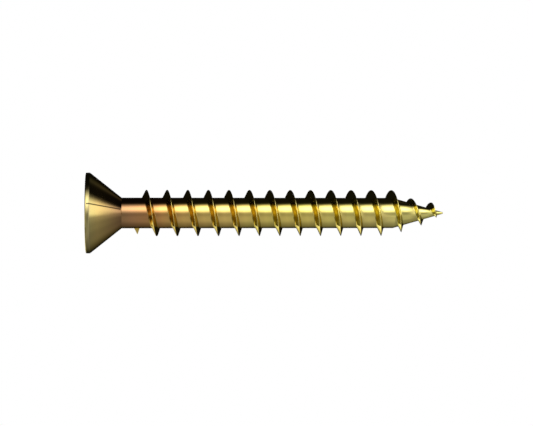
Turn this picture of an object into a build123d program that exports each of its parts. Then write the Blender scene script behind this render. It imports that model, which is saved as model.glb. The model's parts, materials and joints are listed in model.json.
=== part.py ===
"""Chipboard screw, 4.5 x 35 mm: countersunk head with a cross recess, plain neck, coarse
single-start thread and a gimlet point, formed as one piece of steel.

The screw is modelled upright, its head face on Z = 0 and its point upwards, with the thread
starting towards +X. It is then laid on its side along +X as it comes to rest, touching
Z = 0 with the rim of the head and the last full crest of the thread. Lengths are in
millimetres and angles in degrees. Turns are counted along the thread from its start.
"""

from build123d import *
from math import atan2, ceil, cos, degrees, floor, radians, sin, tan
import os

# Whole screw
LENGTH = 35.0  # over the head, as countersunk screws are measured
CORE_DIAMETER = 2.97  # neck and thread root

# Head
HEAD_DIAMETER = 7.8
RIM_HEIGHT = 0.4  # upright band round the head
RIM_BEVEL = 0.06  # edge of the head face
SINK_ANGLE = 77.0  # countersink, side to side

# Thread
THREAD_DIAMETER = 4.5
PITCH = 2.0
NECK_LENGTH = 1.52  # plain neck between the countersink and the first crest
HEAD_FLANK_ANGLE = 25.0  # flank that faces the head, from square to the axis
POINT_FLANK_ANGLE = 15.0  # flank that faces the point
CREST_WIDTH = 0.05
ROOT_OVERLAP = 0.15  # how far the ridge is sunk into the core

# Point
POINT_ANGLE = 31.4  # tapered core, side to side
TIP_DIAMETER = 0.14  # blunt end of the tip
DROP_TURNS = 1.0  # thread past the shoulder whose crest drops towards the point
DROP_RADIUS = 1.38  # crest radius at the end of the drop
CLOSING_PER_TURN = 0.37  # how fast the crest closes in from there on
END_TURNS = 0.42  # last part of the thread, wound tighter while its crest dies away
END_PITCH = 1.1
END_RADIUS = 0.5  # crest radius where the thread stops
BARE_TIP_LENGTH = 0.71  # tip without thread
SECTIONS_PER_TURN = 12
SEAM_TURNS = 0.35  # where the turned blank closes, past the end of the shank's thread

# Cross recess, size 2
RECESS_SPAN = 4.4  # across the wings at the head face
RECESS_DEPTH = 2.7
WING_WIDTH = 1.1
WING_FOOT_SPAN = 2.3  # across the wings at their foot
WING_DEPTH = 2.1
WELL_DIAMETER = 2.2  # round well where the wings cross
WELL_FOOT_DIAMETER = 1.65
TICK_SPAN = 3.5  # across the small star between the wings
TICK_WIDTH = 0.3
TICK_DEPTH = 0.7

# How the screw lies
ROLL_ANGLE = 23.5  # of the thread start past the lowest line of the screw

head_radius = HEAD_DIAMETER / 2
core_radius = CORE_DIAMETER / 2
crest_radius = THREAD_DIAMETER / 2
sink_end = RIM_HEIGHT + (head_radius - core_radius) / tan(radians(SINK_ANGLE / 2))
thread_start = sink_end + NECK_LENGTH
taper = radians(POINT_ANGLE / 2)
apex = LENGTH + TIP_DIAMETER / 2 / tan(taper)  # where the sides of the point would meet
shoulder = apex - core_radius / tan(taper)
thread_end = LENGTH - BARE_TIP_LENGTH
shank_turns = (shoulder - thread_start) / PITCH
steady_turns = (thread_end - END_PITCH * END_TURNS - thread_start) / PITCH
all_turns = steady_turns + END_TURNS


def axial_plane(turn, height=0.0):
    """Plane through the axis at this turn: local X runs outwards, local Y along the axis."""
    angle = radians(360 * turn)
    outward = Vector(cos(angle), sin(angle), 0)
    return Plane(origin=(0, 0, height), x_dir=outward, z_dir=outward.cross(Vector(0, 0, 1)))


def crest_height(turn):
    """Distance of the crest from the head face at this turn."""
    return thread_start + min(turn, steady_turns) * PITCH + max(turn - steady_turns, 0) * END_PITCH


def point_crest_radius(turn):
    """Radius of the crest at this turn, past the shoulder."""
    past = turn - shank_turns
    if past < DROP_TURNS:
        return crest_radius - (crest_radius - DROP_RADIUS) * past / DROP_TURNS
    if turn < steady_turns:
        return DROP_RADIUS - CLOSING_PER_TURN * (past - DROP_TURNS)
    steady_radius = DROP_RADIUS - CLOSING_PER_TURN * (steady_turns - shank_turns - DROP_TURNS)
    return steady_radius - (steady_radius - END_RADIUS) * ((turn - steady_turns) / END_TURNS) ** 2


def ridge_section(crest, foot):
    """Corners of the ridge between its foot radius and its crest radius."""
    head_side = CREST_WIDTH / 2 + (crest - foot) * tan(radians(HEAD_FLANK_ANGLE))
    point_side = CREST_WIDTH / 2 + (crest - foot) * tan(radians(POINT_FLANK_ANGLE))
    return [
        (foot, -head_side),
        (crest, -CREST_WIDTH / 2),
        (crest, CREST_WIDTH / 2),
        (foot, point_side),
    ]


# Blank: head, neck, core and point turned in one outline.
with BuildPart() as blank:
    with BuildSketch(axial_plane(shank_turns + SEAM_TURNS)) as outline:
        with BuildLine():
            Polyline(
                (0, LENGTH),
                (0, 0),
                (head_radius, 0),
                (head_radius, RIM_HEIGHT),
                (core_radius, sink_end),
                (core_radius, shoulder),
                (TIP_DIAMETER / 2, LENGTH),
                close=True,
            )
        make_face()
        chamfer(outline.vertices().sort_by_distance((head_radius, 0))[0], RIM_BEVEL)
    revolve(axis=Axis.Z)

# Thread on the shank: one ridge swept along a helix from the neck to the shoulder.
with BuildPart() as shank_thread:
    with BuildLine() as crest_line:
        Helix(PITCH, shoulder - thread_start, crest_radius, center=(0, 0, thread_start))
    with BuildSketch(axial_plane(0, thread_start)):
        Polygon(*ridge_section(crest_radius, core_radius - ROOT_OVERLAP), align=None)
    sweep(path=crest_line.line, is_frenet=True)

# Thread on the point: the same ridge lofted on round the taper, its crest closing in
# until it stops short of the tip.
point_turns = all_turns - shank_turns
section_count = ceil(point_turns * SECTIONS_PER_TURN)
with BuildPart() as point_thread:
    for number in range(section_count + 1):
        turn = shank_turns + point_turns * number / section_count
        height = crest_height(turn)
        foot = (core_radius - ROOT_OVERLAP) * (LENGTH - height) / (LENGTH - shoulder)
        with BuildSketch(axial_plane(turn, height)):
            Polygon(*ridge_section(point_crest_radius(turn), foot), align=None)
    loft()

# Cross recess: two tapered wings, a round well where they cross and a shallow star.
with BuildPart() as recess:
    for turn in (0, 1 / 4):
        with BuildSketch(axial_plane(turn)):
            Polygon(
                (-RECESS_SPAN / 2, 0),
                (RECESS_SPAN / 2, 0),
                (WING_FOOT_SPAN / 2, WING_DEPTH),
                (0, RECESS_DEPTH),
                (-WING_FOOT_SPAN / 2, WING_DEPTH),
                align=None,
            )
        extrude(amount=WING_WIDTH / 2, both=True)
    for turn in (1 / 8, 3 / 8):
        with BuildSketch(axial_plane(turn)):
            Polygon(
                (-TICK_SPAN / 2, 0),
                (TICK_SPAN / 2, 0),
                (WELL_DIAMETER / 2, TICK_DEPTH),
                (-WELL_DIAMETER / 2, TICK_DEPTH),
                align=None,
            )
        extrude(amount=TICK_WIDTH / 2, both=True)
    with BuildSketch(Plane.XZ):
        Polygon(
            (0, 0),
            (WELL_DIAMETER / 2, 0),
            (WELL_FOOT_DIAMETER / 2, WING_DEPTH),
            (0, RECESS_DEPTH),
            align=None,
        )
    revolve(axis=Axis.Z)

with BuildPart() as upright_screw:
    add(blank.part)
    add(shank_thread.part)
    add(point_thread.part)
    add(recess.part, mode=Mode.SUBTRACT)

# At rest the screw leans on the bottom of its rim and on the last full crest underneath.
last_turn_below = floor(shank_turns + ROLL_ANGLE / 360) - ROLL_ANGLE / 360
rest_span = crest_height(last_turn_below) - RIM_HEIGHT
lean = degrees(atan2(head_radius - crest_radius, rest_span))

with BuildPart() as leaning_screw:
    with Locations(Rotation(0, 90 + lean, 0) * Rotation(0, 0, ROLL_ANGLE)):
        add(upright_screw.part)
extent = leaning_screw.part.bounding_box()

with BuildPart() as screw:
    with Locations((-extent.center().X, -extent.center().Y, -extent.min.Z)):
        add(leaning_screw.part)

os.makedirs("parts", exist_ok=True)
screw.part.label = "screw"
export_step(screw.part, "parts/screw.step")
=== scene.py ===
"""Looks of a 4.5 x 35 mm chipboard screw: a finely meshed screw in yellow-passivated zinc,
lying as it comes to rest, in a white studio with one long softbox.

The screw is laid out in its own frame, in millimetres: heights run along its axis from the
head face towards the point, and turns are counted along the thread from its start. It is
then placed in the row frame, in metres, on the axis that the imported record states.
"""

import json
import logging
from dataclasses import dataclass, field
from enum import Enum
from math import cos, pi, radians, sin, tan, tau
from typing import Dict, List, Optional, Sequence, Tuple, Union

import bmesh
import bpy
from mathutils import Matrix, Vector


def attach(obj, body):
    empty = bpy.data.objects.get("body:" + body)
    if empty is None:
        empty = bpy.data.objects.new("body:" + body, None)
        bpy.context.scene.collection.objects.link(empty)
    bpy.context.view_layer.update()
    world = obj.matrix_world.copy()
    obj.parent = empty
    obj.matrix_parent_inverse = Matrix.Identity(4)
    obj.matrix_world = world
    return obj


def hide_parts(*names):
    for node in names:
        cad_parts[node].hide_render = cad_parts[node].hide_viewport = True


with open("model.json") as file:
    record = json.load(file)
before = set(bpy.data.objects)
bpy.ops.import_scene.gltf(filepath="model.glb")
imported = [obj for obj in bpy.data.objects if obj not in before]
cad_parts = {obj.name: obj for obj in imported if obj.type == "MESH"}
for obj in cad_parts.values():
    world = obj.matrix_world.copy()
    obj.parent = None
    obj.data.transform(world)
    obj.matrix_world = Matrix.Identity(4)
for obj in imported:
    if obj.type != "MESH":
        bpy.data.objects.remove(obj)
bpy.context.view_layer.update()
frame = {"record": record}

MM = 0.001
BODY = "root"
WHITE = (1.0, 1.0, 1.0, 1.0)
WEAR = "wear"  # share of wear, kept on the mesh
ROOT = "root"  # nearness to a root of the thread, kept on the mesh; it sets where the painted root shade falls
RIDGE = "ridge"  # one on the ridge of the thread, kept on the mesh
NEAR = 0.001  # millimetres within which two heights are the same
log = logging.getLogger("chipboard_screw")

Linear = Tuple[float, float, float, float]
Value = Union[float, Sequence[float], bpy.types.NodeSocket]


class Flank(Enum):
    """Side of the thread ridge, with its sign along the axis."""

    HEAD = -1
    POINT = 1


def linear(code: str) -> Linear:
    """Turns an sRGB hex colour into a linear one.

    Args:
        code: Colour such as "#d8c060".

    Returns:
        Linear red, green, blue and an alpha of one.
    """
    parts = [int(code[i : i + 2], 16) / 255 for i in (1, 3, 5)]
    red, green, blue = (c / 12.92 if c <= 0.04045 else ((c + 0.055) / 1.055) ** 2.4 for c in parts)
    return red, green, blue, 1.0


def add_node(
    tree: bpy.types.NodeTree,
    kind: str,
    settings: Optional[Dict[str, object]] = None,
    inputs: Optional[Dict[Union[int, str], Value]] = None,
) -> bpy.types.Node:
    """Adds a node, sets its properties and fills or links its inputs.

    Args:
        tree: Node tree that gets the node.
        kind: Blender's name of the node type.
        settings: Properties of the node.
        inputs: Values or output sockets, by the name or number of the input.

    Returns:
        The new node.
    """
    node = tree.nodes.new(kind)
    for name, value in (settings or {}).items():
        setattr(node, name, value)
    for key, value in (inputs or {}).items():
        if isinstance(value, bpy.types.NodeSocket):
            tree.links.new(value, node.inputs[key])
        else:
            node.inputs[key].default_value = value
    return node


def fill_ramp(ramp: bpy.types.ColorRamp, stops: Sequence[Tuple[float, Linear]]) -> None:
    """Gives a colour ramp its stops.

    Args:
        ramp: Ramp of a colour ramp node.
        stops: Positions from 0 to 1 with their linear colours.
    """
    for _ in range(len(stops) - len(ramp.elements)):
        ramp.elements.new(0.5)
    for element, (position, _) in zip(ramp.elements, stops):
        element.position = position
    for element, (_, colour) in zip(ramp.elements, stops):
        element.color = colour


@dataclass(frozen=True)
class Lie:
    """Where the screw lies in the row frame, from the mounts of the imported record."""

    head: Vector
    axis: Vector
    roll: float = 23.5

    @classmethod
    def of_record(cls, record: Dict[str, object]) -> "Lie":
        """Reads the head face's middle and the screw's axis.

        Args:
            record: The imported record.

        Returns:
            The lie of the screw.
        """
        mounts = {mount["name"]: mount for mount in record["mounts"]}
        head = Vector(mounts["drive_recess"]["pos_m"])
        return cls(head, Vector(mounts["countersink_seat"]["axis"]).normalized())

    @property
    def back(self) -> Vector:
        """Square to the axis and level, away from the viewer."""
        return Vector((0, 1, 0))

    @property
    def up(self) -> Vector:
        """Square to the axis, upwards."""
        return self.axis.cross(self.back)

    def place(self, radius: float, turn: float, height: float) -> Vector:
        """Puts a point of the screw into the row frame.

        Args:
            radius: Distance from the axis, in millimetres.
            turn: Turns round the axis from the thread's start.
            height: Distance from the head face, in millimetres.

        Returns:
            The point, in metres.
        """
        angle = tau * turn + radians(self.roll)
        outward = self.back * sin(angle) - self.up * cos(angle)
        return self.head + (outward * radius + self.axis * height) * MM


@dataclass(frozen=True)
class YellowPassivatedZinc:
    """Bright zinc plating under a yellow passivated film, on cold-formed steel.

    The plating mirrors like polished metal and the thin film tints what it mirrors: olive
    on the head, copper on the neck and gold that pales towards the point. Rolling leaves
    fine marks round the screw, and handling wears the film thin along the edges.
    """

    lie: Lie
    length: float = 35.0
    # Film on the core, by millimetres from the head face: olive, copper, then gold. These
    # colours are the output of a scratch program's fit of the reflections, not chosen by hand.
    tints: Tuple[Tuple[float, str], ...] = (
        (0.0, "#9c9155"),
        (0.4, "#a09469"),
        (0.5, "#b4a466"),
        (1.2, "#c2a665"),
        (2.4, "#af8f5c"),
        (3.3, "#9c7853"),
        (4.4, "#b2845b"),
        (7.0, "#d09b5c"),
        (9.0, "#e0b768"),
        (13.0, "#ecce75"),
        (21.0, "#eedb74"),
        (29.0, "#f3e188"),
        (35.0, "#fbef8e"),
    )
    # Film on the ridge of the thread, gold all the way.
    ridge_tints: Tuple[Tuple[float, str], ...] = (
        (6.0, "#d8bc5e"),
        (10.0, "#e0ca6e"),
        (20.0, "#e6d67a"),
        (33.0, "#f5e98a"),
    )
    cloud_size: float = 2.2  # patches where the film is a little thicker or thinner
    cloud_range: Tuple[float, float] = (0.35, 0.65)  # of the pattern, between the two tints
    cloud_tints: Tuple[str, str] = ("#fbfff9", "#fffbfc")  # a trace greener, a trace pinker
    edge_tint: str = "#eee4b8"  # the film tints grazing light as well
    worn_tint: str = "#f3e09a"  # film worn thin
    worn_share: float = 0.3  # how much of it shows on the most worn edge
    painted_root_shade: float = 0.25  # painted shade in the thread's roots
    roughness: float = 0.07  # bright plating, a little less sharp than a mirror
    roughness_spread: float = 0.05
    worn_roughness: float = 0.06  # added on the most worn edge
    haze_size: float = 0.6  # patches of duller plating
    haze_range: Tuple[float, float] = (0.3, 0.7)  # of the pattern, from brightest to dullest
    mark_spacing: float = 0.35  # rolled marks, far coarser than real ones of 0.02 mm, to show
    mark_run: float = 2.0  # marks in a quarter turn or so
    mark_depth: float = 0.002  # millimetres
    painted_line_angle: float = 76.8  # painted reflection: a dark line down the countersink, from the top towards the front
    painted_line_ends: Tuple[float, float] = (0.15, 3.35)  # millimetres from the head face
    painted_line_width: float = 0.12
    painted_line_edge: Tuple[float, float] = (0.6, 1.4)  # where the line fades, in half widths
    painted_line_shade: float = 0.85  # share of light that it takes

    def material(self) -> bpy.types.Material:
        """Builds the finish as a node material.

        Returns:
            The material.
        """
        material = bpy.data.materials.new("yellow_passivated_zinc")
        material.use_nodes = True
        tree = material.node_tree
        tree.nodes.clear()
        place = add_node(tree, "ShaderNodeTexCoord").outputs["Object"]
        from_head = add_node(
            tree, "ShaderNodeVectorMath", {"operation": "SUBTRACT"}, {0: place, 1: self.lie.head}
        )
        spot = add_node(
            tree,
            "ShaderNodeVectorMath",
            {"operation": "SCALE"},
            {0: from_head.outputs[0], "Scale": 1 / MM},
        ).outputs[0]
        height = add_node(
            tree, "ShaderNodeVectorMath", {"operation": "DOT_PRODUCT"}, {0: spot, 1: self.lie.axis}
        ).outputs["Value"]
        worn = add_node(tree, "ShaderNodeAttribute", {"attribute_name": WEAR}).outputs["Fac"]
        haze = add_node(
            tree, "ShaderNodeTexNoise", None, {"Vector": spot, "Scale": 1 / self.haze_size, "Detail": 3.0}
        )
        spread = self.roughness_spread
        low, high = self.roughness - spread / 2, self.roughness + spread / 2
        least, most = self.haze_range
        hazy = add_node(
            tree, "ShaderNodeMapRange", None, {0: haze.outputs["Fac"], 1: least, 2: most, 3: low, 4: high}
        )
        rough = add_node(
            tree,
            "ShaderNodeMath",
            {"operation": "MULTIPLY_ADD"},
            {0: worn, 1: self.worn_roughness, 2: hazy.outputs["Result"]},
        )
        shader = add_node(
            tree,
            "ShaderNodeBsdfPrincipled",
            None,
            {
                "Base Color": self.film(tree, spot, height, worn),
                "Metallic": 1.0,
                "Specular Tint": linear(self.edge_tint),
                "Roughness": rough.outputs[0],
                "Normal": self.rolled_marks(tree, spot, height),
            },
        )
        add_node(tree, "ShaderNodeOutputMaterial", None, {"Surface": shader.outputs["BSDF"]})
        return material

    def film(
        self,
        tree: bpy.types.NodeTree,
        spot: bpy.types.NodeSocket,
        height: bpy.types.NodeSocket,
        worn: bpy.types.NodeSocket,
    ) -> bpy.types.NodeSocket:
        """Colours the film: its tint along the screw, clouds and worn edges, with painted shade in the
        thread's roots and a painted dark reflection line on the countersink.

        Args:
            tree: Node tree of the material.
            spot: Place from the middle of the head face, in millimetres.
            height: Distance from the head face, in millimetres.
            worn: Share of wear.

        Returns:
            Colour of the surface.
        """
        share = add_node(
            tree, "ShaderNodeMath", {"operation": "DIVIDE"}, {0: height, 1: self.length}
        ).outputs[0]
        core, ridge = (add_node(tree, "ShaderNodeValToRGB", None, {0: share}) for _ in range(2))
        for node, tints in ((core, self.tints), (ridge, self.ridge_tints)):
            fill_ramp(node.color_ramp, [(mm / self.length, linear(code)) for mm, code in tints])
        on_ridge = add_node(tree, "ShaderNodeAttribute", {"attribute_name": RIDGE}).outputs["Fac"]
        tint = add_node(
            tree,
            "ShaderNodeMix",
            {"data_type": "RGBA"},
            {0: on_ridge, 6: core.outputs[0], 7: ridge.outputs[0]},
        )
        patches = add_node(
            tree, "ShaderNodeTexNoise", None, {"Vector": spot, "Scale": 1 / self.cloud_size, "Detail": 2.0}
        )
        clouds = add_node(tree, "ShaderNodeValToRGB", None, {0: patches.outputs["Fac"]})
        fill_ramp(
            clouds.color_ramp,
            [(edge, linear(code)) for edge, code in zip(self.cloud_range, self.cloud_tints)],
        )
        multiply = {"data_type": "RGBA", "blend_type": "MULTIPLY"}
        clouded = add_node(
            tree, "ShaderNodeMix", multiply, {0: 1.0, 6: tint.outputs[2], 7: clouds.outputs[0]}
        )
        thin = add_node(
            tree, "ShaderNodeMath", {"operation": "MULTIPLY"}, {0: worn, 1: self.worn_share}
        )
        paled = add_node(
            tree,
            "ShaderNodeMix",
            {"data_type": "RGBA"},
            {0: thin.outputs[0], 6: clouded.outputs[2], 7: linear(self.worn_tint)},
        )
        # painted shade: the film is darkened near the thread's roots
        root = add_node(tree, "ShaderNodeAttribute", {"attribute_name": ROOT}).outputs["Fac"]
        painted_root_factor = add_node(
            tree,
            "ShaderNodeMath",
            {"operation": "MULTIPLY_ADD"},
            {0: root, 1: -self.painted_root_shade, 2: 1.0},
        )
        # painted shade of the roots times the painted dark reflection line on the countersink
        painted_shade = add_node(
            tree,
            "ShaderNodeMath",
            {"operation": "MULTIPLY"},
            {0: painted_root_factor.outputs[0], 1: self.painted_reflection_line(tree, spot, height)},
        )
        return add_node(
            tree,
            "ShaderNodeVectorMath",
            {"operation": "SCALE"},
            {0: paled.outputs[2], "Scale": painted_shade.outputs[0]},
        ).outputs[0]

    def painted_reflection_line(
        self, tree: bpy.types.NodeTree, spot: bpy.types.NodeSocket, height: bpy.types.NodeSocket
    ) -> bpy.types.NodeSocket:
        """Draws a painted reflection: a fine dark line down the countersink.

        Args:
            tree: Node tree of the material.
            spot: Place from the middle of the head face, in millimetres.
            height: Distance from the head face, in millimetres.

        Returns:
            Share of light that the line leaves: one beside it.
        """
        angle = radians(self.painted_line_angle)
        outward = self.lie.up * cos(angle) - self.lie.back * sin(angle)
        beside, before = (
            add_node(
                tree, "ShaderNodeVectorMath", {"operation": "DOT_PRODUCT"}, {0: spot, 1: towards}
            ).outputs["Value"]
            for towards in (outward.cross(self.lie.axis), outward)
        )
        away = add_node(tree, "ShaderNodeMath", {"operation": "ABSOLUTE"}, {0: beside})
        near, far = (self.painted_line_width / 2 * share for share in self.painted_line_edge)
        edge = {"Value": away.outputs[0], "From Min": near, "From Max": far}
        line = add_node(
            tree, "ShaderNodeMapRange", None, {**edge, "To Min": self.painted_line_shade, "To Max": 0.0}
        )
        inside = add_node(
            tree, "ShaderNodeMath", {"operation": "GREATER_THAN"}, {0: before, 1: 0.0}
        )
        for end, side in zip(self.painted_line_ends, ("GREATER_THAN", "LESS_THAN")):
            past = add_node(tree, "ShaderNodeMath", {"operation": side}, {0: height, 1: end})
            inside = add_node(
                tree,
                "ShaderNodeMath",
                {"operation": "MULTIPLY"},
                {0: inside.outputs[0], 1: past.outputs[0]},
            )
        drawn = add_node(
            tree,
            "ShaderNodeMath",
            {"operation": "MULTIPLY"},
            {0: line.outputs["Result"], 1: inside.outputs[0]},
        )
        return add_node(
            tree, "ShaderNodeMath", {"operation": "SUBTRACT"}, {0: 1.0, 1: drawn.outputs[0]}
        ).outputs[0]

    def rolled_marks(
        self, tree: bpy.types.NodeTree, spot: bpy.types.NodeSocket, height: bpy.types.NodeSocket
    ) -> bpy.types.NodeSocket:
        """Raises fine marks that run round the screw, as rolling and heading leave them.

        Args:
            tree: Node tree of the material.
            spot: Place from the middle of the head face, in millimetres.
            height: Distance from the head face, in millimetres.

        Returns:
            The bent normal.
        """
        kind = "ShaderNodeVectorMath"
        on_axis = add_node(tree, kind, {"operation": "SCALE"}, {0: self.lie.axis, "Scale": height})
        outward = add_node(tree, kind, {"operation": "SUBTRACT"}, {0: spot, 1: on_axis.outputs[0]})
        radius = add_node(tree, kind, {"operation": "LENGTH"}, {0: outward.outputs[0]})
        round_it = add_node(tree, kind, {"operation": "NORMALIZE"}, {0: outward.outputs[0]})
        slow = add_node(
            tree, kind, {"operation": "SCALE"}, {0: round_it.outputs[0], "Scale": self.mark_run}
        )
        # Twice the radius is added so that the marks also cross the flanks and the head face.
        way = add_node(
            tree,
            "ShaderNodeMath",
            {"operation": "MULTIPLY_ADD"},
            {0: radius.outputs["Value"], 1: 2.0, 2: height},
        )
        fast = add_node(
            tree, "ShaderNodeMath", {"operation": "DIVIDE"}, {0: way.outputs[0], 1: self.mark_spacing}
        )
        across = add_node(
            tree, kind, {"operation": "SCALE"}, {0: self.lie.axis, "Scale": fast.outputs[0]}
        )
        where = add_node(
            tree, kind, {"operation": "ADD"}, {0: slow.outputs[0], 1: across.outputs[0]}
        )
        marks = add_node(
            tree, "ShaderNodeTexNoise", None, {"Vector": where.outputs[0], "Scale": 1.0, "Detail": 2.0}
        )
        bump = add_node(
            tree,
            "ShaderNodeBump",
            None,
            {"Height": marks.outputs["Fac"], "Distance": self.mark_depth * MM, "Strength": 1.0},
        )
        return bump.outputs["Normal"]


@dataclass
class DriveRecess:
    """Cross recess of size 2 with a small star between its wings, in millimetres."""

    span: float = 4.4
    depth: float = 2.7
    wing_width: float = 1.1
    wing_foot_span: float = 2.3
    wing_depth: float = 2.1
    well_diameter: float = 2.2
    well_foot_diameter: float = 1.65
    tick_span: float = 3.5
    tick_width: float = 0.3
    tick_depth: float = 0.7
    overshoot: float = 0.3  # how far the cutters stand out of the head face
    well_sides: int = 48

    def slab(
        self, lie: Lie, name: str, turn: float, width: float, outline: Sequence[Tuple[float, float]]
    ) -> bpy.types.Object:
        """Makes a cutter of even width on a plane through the axis.

        Args:
            lie: Lie of the screw.
            name: Name of the cutter.
            turn: Turn at which the plane stands.
            width: Width of the cutter.
            outline: Half outline as radius and height, mirrored on the axis.

        Returns:
            The cutter.
        """
        mesh = bmesh.new()
        across = lie.place(1, turn + 0.25, 0) - lie.place(0, 0, 0)
        whole = list(outline) + [(-r, h) for r, h in reversed(outline) if r > 0]
        sides = [
            [mesh.verts.new(lie.place(r, turn, h) + across * side * width / 2) for r, h in whole]
            for side in (-1, 1)
        ]
        mesh.faces.new(sides[0])
        mesh.faces.new(sides[1])
        for i in range(len(whole)):
            j = (i + 1) % len(whole)
            mesh.faces.new((sides[0][i], sides[0][j], sides[1][j], sides[1][i]))
        return finish_mesh(mesh, name)

    def well(self, lie: Lie) -> bpy.types.Object:
        """Makes the cutter of the round well.

        Args:
            lie: Lie of the screw.

        Returns:
            The cutter.
        """
        mesh = bmesh.new()
        outline = [
            (self.well_diameter / 2, -self.overshoot),
            (self.well_diameter / 2, 0),
            (self.well_foot_diameter / 2, self.wing_depth),
        ]
        rings = [
            [mesh.verts.new(lie.place(r, i / self.well_sides, h)) for i in range(self.well_sides)]
            for r, h in outline
        ]
        foot = mesh.verts.new(lie.place(0, 0, self.depth))
        mesh.faces.new(rings[0])
        for i in range(self.well_sides):
            j = (i + 1) % self.well_sides
            for above, below in zip(rings, rings[1:]):
                mesh.faces.new((above[i], above[j], below[j], below[i]))
            mesh.faces.new((rings[-1][i], rings[-1][j], foot))
        return finish_mesh(mesh, "recess_well")

    def cutters(self, lie: Lie) -> List[bpy.types.Object]:
        """Makes all cutters of the recess.

        Args:
            lie: Lie of the screw.

        Returns:
            The well, two wings and two bars of the star, in the order in which they cut.
        """
        wing = [
            (self.span / 2, -self.overshoot),
            (self.span / 2, 0),
            (self.wing_foot_span / 2, self.wing_depth),
            (0, self.depth),
        ]
        tick = [
            (self.tick_span / 2, -self.overshoot),
            (self.tick_span / 2, 0),
            (self.well_diameter / 2, self.tick_depth),
        ]
        wings = [
            self.slab(lie, f"recess_wing_{i}", turn, self.wing_width, wing)
            for i, turn in enumerate((0, 0.25))
        ]
        star = [
            self.slab(lie, f"recess_star_{i}", turn, self.tick_width, tick)
            for i, turn in enumerate((0.125, 0.375))
        ]
        return [self.well(lie), *wings, *star]


def soft_corner(start: Vector, corner: Vector, end: Vector, steps: int) -> List[Vector]:
    """Rounds a corner between a start and an end.

    Args:
        start: Where the rounding leaves the first side.
        corner: The sharp corner.
        end: Where the rounding meets the second side.
        steps: How many parts the rounding has.

    Returns:
        The start and the points of the rounding, without the end.
    """
    shares = [i / steps for i in range(steps)]
    return [start * (1 - t) ** 2 + corner * 2 * t * (1 - t) + end * t**2 for t in shares]


def finish_mesh(mesh: bmesh.types.BMesh, name: str) -> bpy.types.Object:
    """Turns all faces outwards and makes an object of the mesh.

    Args:
        mesh: Closed mesh in row coordinates. It is freed.
        name: Name of the object.

    Returns:
        The new object, linked to the scene.
    """
    bmesh.ops.recalc_face_normals(mesh, faces=mesh.faces)
    data = bpy.data.meshes.new(name)
    mesh.to_mesh(data)
    mesh.free()
    made = bpy.data.objects.new(name, data)
    bpy.context.scene.collection.objects.link(made)
    return made


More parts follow.
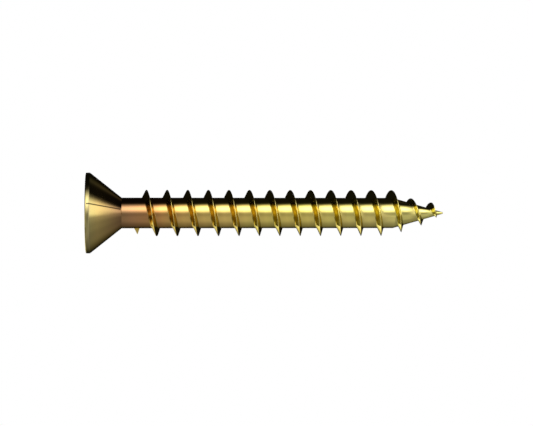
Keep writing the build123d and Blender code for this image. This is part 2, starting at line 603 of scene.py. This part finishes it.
@dataclass
class Screw:
    """The whole screw, in millimetres and degrees.

    Its sizes are those of its solid. Only the edges are softer, as a formed screw's are.
    """

    lie: Lie
    length: float = 35.0
    core_diameter: float = 2.97
    head_diameter: float = 7.8
    rim_height: float = 0.4
    sink_angle: float = 77.0
    thread_diameter: float = 4.5
    pitch: float = 2.0
    neck_length: float = 1.52
    head_flank_angle: float = 25.0
    point_flank_angle: float = 15.0
    crest_width: float = 0.05
    root_radius: float = 0.08  # rolled thread roots aren't sharp
    crest_softness: float = 0.04  # and neither are their crests
    rim_softness: float = 0.1
    point_angle: float = 31.4
    tip_diameter: float = 0.14
    drop_turns: float = 1.0
    drop_radius: float = 1.38
    closing_per_turn: float = 0.37
    end_turns: float = 0.42
    end_pitch: float = 1.1
    end_radius: float = 0.5
    bare_tip_length: float = 0.71
    columns: int = 144  # round the screw
    tip_softness: float = 0.07
    soft_steps: int = 3  # rows that round an edge
    root_share: float = 0.35  # most of a low ridge's height that its root rounding takes
    blunt_share: float = 0.3  # most of a low ridge's height that its crest rounding takes
    shoulder_margin: float = 0.05  # share of the gap kept free beside a ridge
    sharp_angle: float = 35.0  # edges sharper than this stay sharp
    ridge_wear: Tuple[float, ...] = (0, 0, 0, 0, 0.25, 0.7, 0.9, 1)  # core to crest
    # nearness to a root, core to crest, where the painted root shade falls
    ridge_root: Tuple[float, ...] = (0.5, 1, 1, 0.6, 0, 0, 0, 0)
    ridge_share: Tuple[float, ...] = (0, 0.4, 0.8, 1, 1, 1, 1, 1)
    head_wear: Tuple[float, ...] = (0, 1, 1, 0.5, 0.3, 0.9, 0.9, 0.3, 0)  # face to neck
    recess: DriveRecess = field(default_factory=DriveRecess)

    def __post_init__(self) -> None:
        """Works out the heights and radii that follow from the sizes."""
        self.head_radius = self.head_diameter / 2
        self.core_radius = self.core_diameter / 2
        self.crest_radius = self.thread_diameter / 2
        run = (self.head_radius - self.core_radius) / tan(radians(self.sink_angle / 2))
        self.sink_end = self.rim_height + run
        self.thread_start = self.sink_end + self.neck_length
        self.taper = radians(self.point_angle / 2)
        self.apex = self.length + self.tip_diameter / 2 / tan(self.taper)
        self.shoulder = self.apex - self.core_radius / tan(self.taper)
        thread_end = self.length - self.bare_tip_length
        self.shank_turns = (self.shoulder - self.thread_start) / self.pitch
        end_run = self.end_pitch * self.end_turns
        self.steady_turns = (thread_end - end_run - self.thread_start) / self.pitch
        self.last = round((self.steady_turns + self.end_turns) * self.columns)

    def core_at(self, height: float) -> float:
        """Radius of the core at a height beyond the countersink."""
        return min(self.core_radius, (self.apex - height) * tan(self.taper))

    def crest_height(self, turn: float) -> float:
        """Height of the crest at a turn."""
        steady = min(turn, self.steady_turns)
        return self.thread_start + steady * self.pitch + (turn - steady) * self.end_pitch

    def crest_at(self, turn: float) -> float:
        """Works out how far the crest stands from the axis.

        Args:
            turn: Turn along the thread.

        Returns:
            Radius of the crest.
        """
        past = turn - self.shank_turns
        if past <= 0:
            return self.crest_radius
        if past < self.drop_turns:
            fall = self.crest_radius - self.drop_radius
            return self.crest_radius - fall * past / self.drop_turns
        steady = min(turn, self.steady_turns) - self.shank_turns - self.drop_turns
        radius = self.drop_radius - self.closing_per_turn * steady
        if turn <= self.steady_turns:
            return radius
        gone = (turn - self.steady_turns) / self.end_turns
        return radius - (radius - self.end_radius) * gone**2

    def half_ridge(self, turn: float, flank: Flank) -> List[Tuple[float, float]]:
        """Lays out one side of the ridge in the plane of a turn.

        Args:
            turn: Where the section stands.
            flank: Side of the ridge.

        Returns:
            Radius and height of each point, from the core to the crest.
        """
        way = flank.value
        angle = self.head_flank_angle if flank is Flank.HEAD else self.point_flank_angle
        slope = tan(radians(angle))
        crest = self.crest_at(turn)
        edge = self.crest_height(turn) + way * self.crest_width / 2
        drop = crest - self.core_radius
        if edge + way * drop * slope > self.shoulder:
            fall = crest - (self.apex - edge) * tan(self.taper)
            drop = fall / (1 - way * slope * tan(self.taper))
        corner = Vector((crest - drop, edge + way * drop * slope))
        soft = min(self.root_radius, drop * self.root_share)
        rise = Vector((1, -way * slope)).normalized() * soft
        foot_height = corner.y + way * soft
        foot = Vector((self.core_at(foot_height), foot_height))
        top = corner + rise
        blunt = min(self.crest_softness, drop * self.blunt_share)
        start = Vector((crest - blunt, edge + way * blunt * slope))
        ridge_line = Vector((crest, self.crest_height(turn)))
        return [
            *soft_corner(foot, corner, top, self.soft_steps),
            top,
            *soft_corner(start, Vector((crest, edge)), ridge_line, self.soft_steps),
        ]

    def ridge(self, mesh: bmesh.types.BMesh, column: int) -> List[bmesh.types.BMVert]:
        """Adds the points of one section of the ridge, from its head side to its point side.

        Args:
            mesh: Mesh of the screw.
            column: Number of the section along the thread.

        Returns:
            The new points.
        """
        turn = column / self.columns
        crest = (self.crest_at(turn), self.crest_height(turn))
        rise, fall = (self.half_ridge(turn, flank) for flank in (Flank.HEAD, Flank.POINT))
        section = [*rise, crest, *reversed(fall)]
        points = [mesh.verts.new(self.lie.place(r, turn, h)) for r, h in section]
        rows = {WEAR: self.ridge_wear, ROOT: self.ridge_root, RIDGE: self.ridge_share}
        for name, values in rows.items():
            layer = mesh.verts.layers.float[name]
            for point, value in zip(points, (*values, *reversed(values[:-1]))):
                point[layer] = value
        return points

    def head_outline(self) -> List[Tuple[float, float]]:
        """Lays out the head from the flat of its face to the neck, with both rim edges softened.

        Returns:
            Radius and height of each ring.
        """
        soft = self.rim_softness
        top_edge = Vector((self.head_radius, 0))
        low_edge = Vector((self.head_radius, self.rim_height))
        neck = Vector((self.core_radius, self.sink_end))
        down = (neck - low_edge).normalized()
        rounding = [
            *soft_corner(
                top_edge - Vector((soft, 0)), top_edge, top_edge + Vector((0, soft)), self.soft_steps
            ),
            top_edge + Vector((0, soft)),
            *soft_corner(
                low_edge - Vector((0, soft / 2)), low_edge, low_edge + down * soft / 2, self.soft_steps
            ),
            low_edge + down * soft / 2,
            neck,
        ]
        return [tuple(point) for point in rounding]

    def tip_outline(self) -> List[Tuple[float, float]]:
        """Lays out the rounded end of the tip, without its middle.

        Returns:
            Radius and height of each ring.
        """
        start = self.length - self.tip_softness
        rounding = soft_corner(
            Vector((self.core_at(start), start)),
            Vector((self.tip_diameter / 2, self.length)),
            Vector((0, self.length)),
            self.soft_steps,
        )
        return [tuple(point) for point in rounding]

    def ring(
        self, mesh: bmesh.types.BMesh, radius: float, height: float
    ) -> List[bmesh.types.BMVert]:
        """Adds a ring of points round the axis.

        Args:
            mesh: Mesh of the screw.
            radius: Distance from the axis.
            height: Distance from the head face.

        Returns:
            The new points.
        """
        return [
            mesh.verts.new(self.lie.place(radius, i / self.columns, height))
            for i in range(self.columns)
        ]

    def core_point(
        self, mesh: bmesh.types.BMesh, column: int, low: float, high: float
    ) -> bmesh.types.BMVert:
        """Adds the point between two ridges, on the shoulder where that lies between them.

        Args:
            mesh: Mesh of the screw.
            column: Number of the section along the thread.
            low: Height where the ridge on the head side ends.
            high: Height where the next ridge begins.

        Returns:
            The new point.
        """
        height = (low + high) / 2
        if low < self.shoulder < high:
            margin = (high - low) * self.shoulder_margin
            height = min(max(self.shoulder, low + margin), high - margin)
        return mesh.verts.new(self.lie.place(self.core_at(height), column / self.columns, height))

    @staticmethod
    def zip_sides(
        mesh: bmesh.types.BMesh, left: List[bmesh.types.BMVert], right: List[bmesh.types.BMVert]
    ) -> None:
        """Fills the strip between two rows that may have different numbers of points.

        Args:
            mesh: Mesh of the screw.
            left: One row, ordered along the axis.
            right: The other row, in the same order.
        """
        i = j = 0
        while i < len(left) - 1 or j < len(right) - 1:
            if len(left) == len(right):
                mesh.faces.new((left[i], left[i + 1], right[j + 1], right[j]))
                i, j = i + 1, j + 1
            elif j == len(right) - 1 or (
                i < len(left) - 1
                and (left[i + 1].co - right[j].co).length < (right[j + 1].co - left[i].co).length
            ):
                mesh.faces.new((left[i], left[i + 1], right[j]))
                i += 1
            else:
                mesh.faces.new((left[i], right[j + 1], right[j]))
                j += 1

    def shell(self) -> bpy.types.Object:
        """Builds the closed outer surface of the screw, with a flat head face.

        Returns:
            The screw without its recess.
        """
        mesh = bmesh.new()
        for name in (WEAR, ROOT, RIDGE):
            mesh.verts.layers.float.new(name)
        around, last = self.columns, self.last
        head = [self.ring(mesh, r, h) for r, h in self.head_outline()]
        for ring, value in zip(head, self.head_wear):
            for point in ring:
                point[mesh.verts.layers.float[WEAR]] = value
        neck = head[-1]
        mesh.faces.new(head[0])
        ridges = [self.ridge(mesh, column) for column in range(last + 1)]
        heights = [
            (
                self.half_ridge(column / around, Flank.HEAD)[0][1],
                self.half_ridge(column / around, Flank.POINT)[0][1],
            )
            for column in range(last + 1)
        ]
        between = [
            self.core_point(mesh, column, heights[column][1], heights[column + around][0])
            for column in range(last + 1 - around)
        ]
        end = [self.ring(mesh, r, h) for r, h in self.tip_outline()]
        tip = mesh.verts.new(self.lie.place(0, 0, self.length))

        for i in range(around):
            j = (i + 1) % around
            for above, below in (*zip(head, head[1:]), *zip(end, end[1:])):
                mesh.faces.new((above[i], above[j], below[j], below[i]))
            mesh.faces.new((end[-1][i], end[-1][j], tip))

        def gap(column: int) -> List[bmesh.types.BMVert]:
            """Row across the core from this section of the ridge to the next turn's."""
            return [ridges[column][-1], between[column], ridges[column + around][0]]

        def to_neck(column: int) -> List[bmesh.types.BMVert]:
            """Lays out the row from the neck to the first ridge at a section.

            Args:
                column: Number of the section along the thread.

            Returns:
                The points of the row.
            """
            if column < around:
                return [neck[column], ridges[column][0]]
            return [neck[0], ridges[0][0], *gap(0)]

        def to_tip(column: int) -> List[bmesh.types.BMVert]:
            """Lays out the row from the last ridge at a section to the tip.

            Args:
                column: Number of the section along the thread.

            Returns:
                The points of the row.
            """
            if column > last - around:
                return [ridges[column][-1], end[0][column % around]]
            return [*gap(column), ridges[last][-1], end[0][column % around]]

        for column in range(last):
            self.zip_sides(mesh, ridges[column], ridges[column + 1])
        for column in range(last - around):
            self.zip_sides(mesh, gap(column), gap(column + 1))
        for column in range(around):
            self.zip_sides(mesh, to_neck(column), to_neck(column + 1))
            self.zip_sides(mesh, to_tip(last - around + column), to_tip(last - around + column + 1))
        mesh.faces.new(ridges[0])
        mesh.faces.new(ridges[last])
        return finish_mesh(mesh, "screw_blank")

    def build(self, finish: YellowPassivatedZinc) -> bpy.types.Object:
        """Cuts the recess into the shell, marks its edges and dresses it.

        Args:
            finish: The plating.

        Returns:
            The finished screw.
        """
        blank = self.shell()
        cutters = self.recess.cutters(self.lie)
        for cutter in cutters:
            cut = blank.modifiers.new(cutter.name, "BOOLEAN")
            cut.operation, cut.solver, cut.object = "DIFFERENCE", "EXACT", cutter
        evaluated = blank.evaluated_get(bpy.context.evaluated_depsgraph_get())
        data = bpy.data.meshes.new_from_object(evaluated)
        data.name = "dressed_screw"
        screw = bpy.data.objects.new("dressed_screw", data)
        bpy.context.scene.collection.objects.link(screw)
        for spare in (blank, *cutters):
            bpy.data.objects.remove(spare)
        self.mark_edges(data)
        data.materials.clear()
        data.materials.append(finish.material())
        return screw

    def mark_edges(self, data: bpy.types.Mesh) -> None:
        """Shades the surface smooth but for its real edges.

        Args:
            data: Mesh of the screw.
        """
        mesh = bmesh.new()
        mesh.from_mesh(data)
        heights = {
            v: (v.co - self.lie.head).dot(self.lie.axis) / MM - self.shoulder for v in mesh.verts
        }
        for face in mesh.faces:
            face.smooth = True
        for edge in mesh.edges:
            on_shoulder = all(abs(heights[v]) < NEAR for v in edge.verts)
            soft = edge.calc_face_angle(0.0) < radians(self.sharp_angle)
            edge.smooth = soft and not on_shoulder
        mesh.to_mesh(data)
        mesh.free()


@dataclass(frozen=True)
class SoftCard:
    """A large soft light or lit surface, seen from the screw.

    Its place round the screw is an angle from level in front, upwards. Its place along the
    screw is a slant: the share of its direction that runs along the axis, 1 at the point's
    end. Each way it has a half width and a soft edge.
    """

    name: str
    angle: float
    half_angle: float
    soft_angle: float
    slant: float
    half_slant: float
    soft_slant: float
    level: float

    def window(
        self, tree: bpy.types.NodeTree, away: bpy.types.NodeSocket, half: float, soft: float
    ) -> bpy.types.NodeSocket:
        """Adds the soft edge of the card in one direction.

        Args:
            tree: Node tree of the world.
            away: Distance from the middle of the card.
            half: Half width of the card.
            soft: Half width of its edge.

        Returns:
            One inside the card and zero outside.
        """
        edge = {"Value": away, "From Min": half - soft, "From Max": half + soft}
        levels = {"To Min": 1.0, "To Max": 0.0}
        smooth = {"interpolation_type": "SMOOTHSTEP"}
        return add_node(tree, "ShaderNodeMapRange", smooth, {**edge, **levels}).outputs["Result"]

    def add_to(
        self,
        tree: bpy.types.NodeTree,
        angle: bpy.types.NodeSocket,
        slant: bpy.types.NodeSocket,
        light: Value,
    ) -> bpy.types.NodeSocket:
        """Adds the card's light to the light of the cards before it.

        Args:
            tree: Node tree of the world.
            angle: Angle round the screw, in radians.
            slant: Slant along the screw.
            light: Light so far.

        Returns:
            Light with this card's.
        """
        turned = add_node(
            tree, "ShaderNodeMath", {"operation": "SUBTRACT"}, {0: angle, 1: radians(self.angle)}
        )
        wrapped = add_node(
            tree, "ShaderNodeMath", {"operation": "WRAP"}, {0: turned.outputs[0], 1: pi, 2: -pi}
        )
        round_it = add_node(tree, "ShaderNodeMath", {"operation": "ABSOLUTE"}, {0: wrapped.outputs[0]})
        moved = add_node(
            tree, "ShaderNodeMath", {"operation": "SUBTRACT"}, {0: slant, 1: self.slant}
        )
        along_it = add_node(tree, "ShaderNodeMath", {"operation": "ABSOLUTE"}, {0: moved.outputs[0]})
        half, soft = radians(self.half_angle), radians(self.soft_angle)
        inside = add_node(
            tree,
            "ShaderNodeMath",
            {"operation": "MULTIPLY"},
            {
                0: self.window(tree, round_it.outputs[0], half, soft),
                1: self.window(tree, along_it.outputs[0], self.half_slant, self.soft_slant),
            },
        )
        total = add_node(
            tree,
            "ShaderNodeMath",
            {"operation": "MULTIPLY_ADD"},
            {0: inside.outputs[0], 1: self.level, 2: light},
        )
        return total.outputs[0]


@dataclass
class Studio:
    """White paper, soft lights and lit surfaces round the screw, and the camera."""

    lie: Lie
    middle: float = 17.505  # of the view, from the head face along the axis
    distance: float = 136.72  # of the camera from there
    swing: float = 0.0905  # radians, of the view towards the point
    sensor: float = 36.0
    focal_length: float = 94.56
    clip: Tuple[float, float] = (0.001, 10.0)  # metres
    floor_half: float = 0.6  # metres
    floor_drop: float = 0.00001  # metres, to keep the paper off the screw
    room_level: float = 0.008
    # All but the last come from a scratch program's fit of the reflections, rounded to steps
    # of 5 degrees and 0.05, with faint levels to 0.01 and a few values changed by eye. Their
    # names tell the direction and don't name known surroundings.
    cards: Tuple[SoftCard, ...] = (
        SoftCard("long softbox in front", 35.0, 20.0, 20.0, 0.0, 0.3, 0.05, 2.2),
        SoftCard("softbox beyond the point", 25.0, 40.0, 15.0, 0.88, 0.07, 0.02, 1.4),
        SoftCard("window beyond the point", 45.0, 20.0, 25.0, 0.7, 0.1, 0.15, 3.2),
        SoftCard("table in front", -35.0, 90.0, 35.0, 0.4, 0.75, 0.1, 0.28),
        SoftCard("table below the camera", -45.0, 30.0, 25.0, 0.1, 0.25, 0.1, 0.23),
        SoftCard("card beside the head", -20.0, 30.0, 20.0, -0.8, 0.15, 0.05, 1.2),
        SoftCard("paper behind the head", -140.0, 20.0, 15.0, -0.6, 0.25, 0.3, 1.45),
        SoftCard("wall beside the head", 20.0, 15.0, 25.0, -0.3, 0.45, 0.25, 0.9),
        SoftCard("wall behind the point", -135.0, 25.0, 15.0, 0.9, 0.55, 0.45, 0.1),
        SoftCard("camera side beyond the point", 20.0, 50.0, 25.0, 0.45, 0.05, 0.2, 1.1),
        SoftCard("table beside the head", -45.0, 55.0, 15.0, -0.75, 0.45, 0.3, 0.15),
        SoftCard("low paper behind the head", -115.0, 10.0, 20.0, -0.85, 0.3, 0.2, 1.0),
        SoftCard("end of the softbox", 30.0, 25.0, 25.0, 1.15, 0.2, 0.02, 1.05),
        SoftCard("wall beyond the point", 5.0, 50.0, 25.0, 1.3, 0.5, 0.15, 0.29),
        SoftCard("strip above the point", 150.0, 20.0, 25.0, 0.55, 0.05, 0.15, 0.14),
        SoftCard("wall above the head side", 45.0, 20.0, 15.0, -0.75, 0.2, 0.2, 0.6),
        SoftCard("table under the head side", -70.0, 15.0, 10.0, -0.35, 0.2, 0.2, 0.18),
        SoftCard("table past the point", -50.0, 30.0, 15.0, 0.7, 0.15, 0.15, 0.21),
        SoftCard("camera side by the point", 0.0, 15.0, 10.0, 0.5, 0.1, 0.15, 0.45),
        SoftCard("camera side by the head", -30.0, 15.0, 10.0, -0.4, 0.2, 0.2, 0.21),
        SoftCard("middle of the softbox", 35.0, 15.0, 5.0, 0.0, 0.3, 0.2, 0.29),
        SoftCard("low paper behind the screw", -165.0, 15.0, 10.0, -0.45, 0.25, 0.15, 0.7),
        SoftCard("plain light at the head end", 0.0, 200.0, 10.0, -1.0, 0.06, 0.02, 0.6),
    )

    def build_camera(self) -> bpy.types.Object:
        """Sets the camera level with the axis, in front of the screw.

        Returns:
            The camera.
        """
        target = self.lie.head + self.lie.axis * self.middle * MM
        toward = self.lie.axis * sin(self.swing) + self.lie.back * cos(self.swing)
        right = self.lie.axis * cos(self.swing) - self.lie.back * sin(self.swing)
        data = bpy.data.cameras.new("camera")
        data.sensor_width = self.sensor
        data.lens = self.focal_length
        data.clip_start, data.clip_end = self.clip
        camera = bpy.data.objects.new("camera", data)
        camera.matrix_world = Matrix((right, self.lie.up, -toward)).transposed().to_4x4()
        camera.location = target - toward * self.distance * MM
        bpy.context.scene.collection.objects.link(camera)
        bpy.context.scene.camera = camera
        return camera

    def build_world(self) -> bpy.types.World:
        """Lights the screw with the cards and leaves a white background.

        Returns:
            The world.
        """
        world = bpy.data.worlds.new("studio")
        world.use_nodes = True
        tree = world.node_tree
        tree.nodes.clear()
        way = add_node(tree, "ShaderNodeTexCoord").outputs["Generated"]
        front, up, slant = (
            add_node(
                tree, "ShaderNodeVectorMath", {"operation": "DOT_PRODUCT"}, {0: way, 1: towards}
            ).outputs["Value"]
            for towards in (-self.lie.back, self.lie.up, self.lie.axis)
        )
        angle = add_node(tree, "ShaderNodeMath", {"operation": "ARCTAN2"}, {0: up, 1: front})
        light: Value = self.room_level
        for card in self.cards:
            light = card.add_to(tree, angle.outputs[0], slant, light)
        mirrored = add_node(tree, "ShaderNodeBackground", None, {"Color": WHITE, "Strength": light})
        paper = add_node(tree, "ShaderNodeBackground", None, {"Color": WHITE, "Strength": 1.0})
        seen = add_node(tree, "ShaderNodeLightPath")
        mix = add_node(
            tree,
            "ShaderNodeMixShader",
            None,
            {0: seen.outputs["Is Camera Ray"], 1: mirrored.outputs[0], 2: paper.outputs[0]},
        )
        add_node(tree, "ShaderNodeOutputWorld", None, {"Surface": mix.outputs[0]})
        bpy.context.scene.world = world
        return world

    def build_floor(self) -> bpy.types.Object:
        """Lays the white paper under the screw.

        Returns:
            The floor.
        """
        mesh = bmesh.new()
        bmesh.ops.create_grid(mesh, x_segments=1, y_segments=1, size=self.floor_half)
        floor = finish_mesh(mesh, "floor")
        floor.location.z = -self.floor_drop
        material = bpy.data.materials.new("white_paper")
        material.use_nodes = True
        tree = material.node_tree
        tree.nodes.clear()
        glow = add_node(tree, "ShaderNodeEmission", None, {"Color": WHITE, "Strength": 1.0})
        add_node(tree, "ShaderNodeOutputMaterial", None, {"Surface": glow.outputs[0]})
        floor.data.materials.append(material)
        floor.visible_glossy = False
        floor.visible_diffuse = False
        return floor

    def build(self) -> None:
        """Sets up camera, world, floor and the plain view of colours."""
        self.build_camera()
        self.build_world()
        self.build_floor()
        bpy.context.scene.view_settings.view_transform = "Standard"


def main() -> None:
    """Builds the screw and its studio and reports each piece."""
    logging.basicConfig(level=logging.INFO, format="%(name)s: %(message)s")
    lie = Lie.of_record(frame["record"])
    screw = Screw(lie).build(YellowPassivatedZinc(lie))
    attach(screw, BODY)
    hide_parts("screw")
    log.info("screw: %d faces", len(screw.data.polygons))
    Studio(lie).build()
    log.info("studio: camera, surroundings and floor")


if __name__ == "__main__":
    main()
